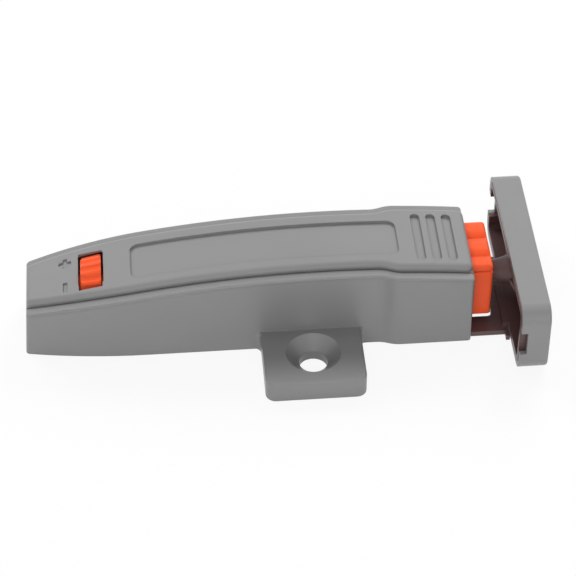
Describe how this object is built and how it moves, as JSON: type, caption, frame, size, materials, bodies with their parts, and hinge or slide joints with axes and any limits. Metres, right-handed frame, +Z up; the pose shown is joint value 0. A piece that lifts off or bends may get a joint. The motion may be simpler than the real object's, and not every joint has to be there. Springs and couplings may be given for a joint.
{
  "type": "touch latch",
  "caption": "Push-to-open touch latch with a sprung plunger and contact plate, a slim casing with two screw ears, and a thumbwheel that sets its reach.",
  "frame": {"origin": "midway between the two screw holes, on the mounting plane under the base", "axes": "+X out of the head towards the door, +Z up from the mounting plane, +Y across, through the two ears"},
  "size_m": [0.08, 0.039, 0.0151],
  "materials": {
    "casing": "fine matt moulded grey",
    "orange": "satin orange moulding",
    "dark_plastic": "satin dark brown-grey moulding",
    "bush": "natural white bearing plastic",
    "steel": "bright zinc plated",
    "brass": "machined",
    "rubber": "black"
  },
  "bodies": {
    "casing": {"housing": "casing", "top_cover": "casing", "rear_bush": "bush", "front_bush": "bush", "thrust_washer": "steel"},
    "adjuster": {"lead_screw": "steel", "adjusting_wheel": "orange", "wheel_clip": "steel"},
    "carriage": {"carriage_base": "orange", "carriage_lid": "orange", "lead_nut": "brass", "spring_seat": "steel", "rod_bush": "bush", "stop_buffer": "rubber", "ejection_spring": "steel"},
    "follower": {"follower_pin": "steel"},
    "slider": {"plunger": "dark_plastic", "spring_collar": "steel", "rod_clip": "steel", "contact_plate": "casing"}
  },
  "joints": [
    {"name": "wheel_turn", "type": "hinge", "parent": "casing", "child": "adjuster", "pos_m": [-0.03345, 0, 0.0066], "axis": [1, 0, 0], "range_deg": [-725, 725]},
    {"name": "carriage_slide", "type": "slide", "parent": "casing", "child": "carriage", "axis": [1, 0, 0], "range_m": [-0.002, 0.002]},
    {"name": "plunger_slide", "type": "slide", "parent": "carriage", "child": "slider", "axis": [1, 0, 0], "range_m": [-0.0025, 0.021], "deforming": ["ejection_spring"]},
    {"name": "follower_swing", "type": "hinge", "parent": "carriage", "child": "follower", "pos_m": [0.022, 0, 0.00305], "axis": [0, 0, 1], "range_deg": [-1, 5.5]}
  ],
  "couplings": [
    {"joint": "wheel_turn", "follows": "carriage_slide", "rad_per_m": -6283.2},
    {"joint": "follower_swing", "follows": "plunger_slide", "rad_per_m": 4.0866}
  ]
}
